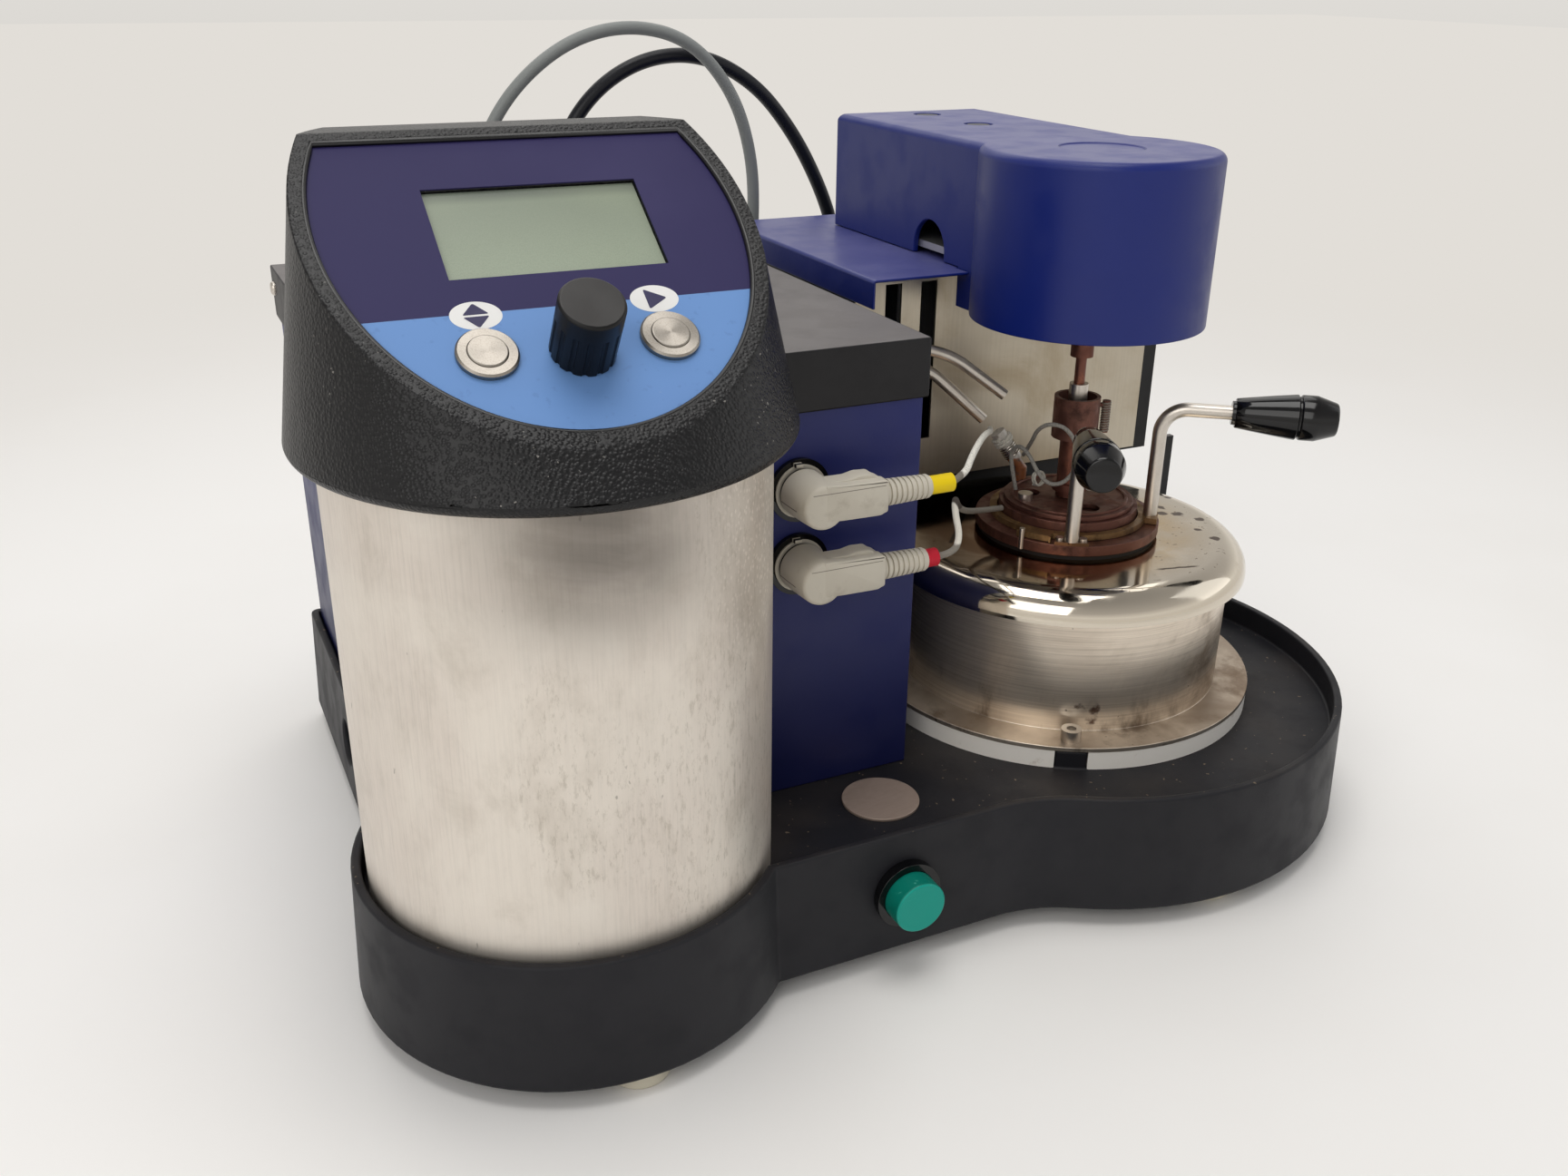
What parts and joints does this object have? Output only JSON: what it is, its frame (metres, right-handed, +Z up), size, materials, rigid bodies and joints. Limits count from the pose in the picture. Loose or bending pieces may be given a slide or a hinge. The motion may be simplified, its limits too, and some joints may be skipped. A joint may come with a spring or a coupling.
{
  "type": "flash point tester",
  "caption": "Closed-cup flash point tester: sloping control head on a steel column, heated stove with a lidded stirred test cup, and a lifting drive head on a tower.",
  "frame": {"origin": "centre of the footprint at the underside of the feet", "axes": "+X to the instrument's right along its width, +Y to the back, +Z up"},
  "size_m": [0.4492, 0.3476, 0.3198],
  "materials": {
    "black_tray": "moulded, fine grain",
    "black_head": "coarse moulded grain",
    "black_sheet": "powder coat",
    "black_plastic": "gloss",
    "stained_steel": "worn stainless",
    "polished_steel": "polished, heat stained",
    "bright_steel": "turned",
    "blue_sheet": "satin paint",
    "blue_cover": "satin paint",
    "overlay_print": "printed film",
    "display_glass": "clear over grey-green",
    "module_grey": "satin",
    "button_green": "gloss",
    "plug_grey": "satin",
    "cable_grey": "matt",
    "cable_black": "satin",
    "lead_white": "woven sleeve",
    "sleeve_colour": "shrink sleeve",
    "white_pad": "satin",
    "tarnished_brass": "heat tarnished",
    "copper_brown": "heat tarnished",
    "heater_black": "oxidised",
    "rubber_cream": "matt",
    "circuit_green": "solder mask",
    "aluminium": "machined",
    "ceramic_white": "glazed ceramic"
  },
  "bodies": {
    "root": {"base_tray": "black_tray", "base_plate": "black_sheet", "feet": "rubber_cream", "badge_disc": "stained_steel", "green_button_body": "black_plastic", "column_shell": "stained_steel", "display_head": "black_head", "display_overlay": "overlay_print", "lcd_window": "display_glass", "lcd_module": "module_grey", "switch_bodies": "bright_steel", "housing_box": "blue_sheet", "housing_lid": "black_sheet", "power_supply": "aluminium", "control_board": "circuit_green", "mains_inlet": "black_plastic", "panel_sockets": "black_plastic", "elbow_plugs": "plug_grey", "plug_reliefs": "plug_grey", "lead_sleeves": "sleeve_colour", "insulating_ring": "white_pad", "stove_drum": "stained_steel", "top_plate": "polished_steel", "heater_block": "heater_black", "test_cup": "tarnished_brass", "front_handle": "bright_steel", "front_grip": "black_plastic", "screws_and_pin": "bright_steel", "tower_chassis": "black_sheet", "tower_front_panel": "stained_steel", "tower_shelf": "blue_cover", "post_guide": "aluminium", "steel_tubes": "bright_steel", "grey_cable": "cable_grey", "black_cable": "cable_black", "cable_glands": "cable_black", "upper_lead": "lead_white", "lower_lead": "lead_white"},
    "knob": {"control_knob": "black_plastic"},
    "left_button": {"left_button_cap": "bright_steel"},
    "right_button": {"right_button_cap": "bright_steel"},
    "green_button": {"green_button_cap": "button_green"},
    "head": {"head_cover": "blue_cover", "head_screws": "black_plastic", "head_carriage": "aluminium", "stirrer_motor": "black_sheet", "lift_posts": "bright_steel"},
    "drive": {"drive_shaft": "copper_brown"},
    "lock": {"locking_ring": "tarnished_brass", "side_handle": "bright_steel", "side_grip": "black_plastic"},
    "lid": {"cup_lid": "tarnished_brass", "lid_cover_plate": "tarnished_brass", "temperature_probe": "bright_steel", "ignitor": "ceramic_white", "ignitor_loop": "lead_white"},
    "shutter": {"shutter_plate": "tarnished_brass", "shutter_spindle": "copper_brown", "shutter_sleeve": "tarnished_brass"},
    "agitator": {"stirrer": "bright_steel"}
  },
  "joints": [
    {"name": "knob_turn", "type": "hinge", "parent": "root", "child": "knob", "pos_m": [-0.1438, -0.11934, 0.24506], "axis": [0, -0.5773, 0.8165], "continuous": true},
    {"name": "left_button_press", "type": "slide", "parent": "root", "child": "left_button", "axis": [0, 0.5773, -0.8165], "range_m": [0, 0.0018], "stiffness_N_per_m": 600, "springref_m": -0.001},
    {"name": "right_button_press", "type": "slide", "parent": "root", "child": "right_button", "axis": [0, 0.5773, -0.8165], "range_m": [0, 0.0018], "stiffness_N_per_m": 600, "springref_m": -0.001},
    {"name": "green_button_press", "type": "slide", "parent": "root", "child": "green_button", "axis": [0, 1, 0], "range_m": [0, 0.0035], "stiffness_N_per_m": 500, "springref_m": -0.001},
    {"name": "head_lift", "type": "slide", "parent": "root", "child": "head", "axis": [0, 0, 1], "range_m": [0, 0.06]},
    {"name": "drive_spin", "type": "hinge", "parent": "head", "child": "drive", "pos_m": [0.1026, -0.0285, 0.2], "axis": [0, 0, 1], "continuous": true},
    {"name": "lid_lift", "type": "slide", "parent": "root", "child": "lid", "axis": [0, 0, 1], "range_m": [0, 0.011]},
    {"name": "shutter_turn", "type": "hinge", "parent": "lid", "child": "shutter", "pos_m": [0.1026, -0.0285, 0.133], "axis": [0, 0, 1], "range_deg": [0, 50], "stiffness_Nm_per_rad": 0.05},
    {"name": "stirrer_spin", "type": "hinge", "parent": "lid", "child": "agitator", "pos_m": [0.1026, -0.0285, 0.133], "axis": [0, 0, 1], "continuous": true},
    {"name": "locking_ring_turn", "type": "hinge", "parent": "root", "child": "lock", "pos_m": [0.1026, -0.0285, 0.126], "axis": [0, 0, -1], "range_deg": [0, 15]}
  ],
  "couplings": [
    {"joint": "stirrer_spin", "follows": "drive_spin", "ratio": 1}
  ]
}
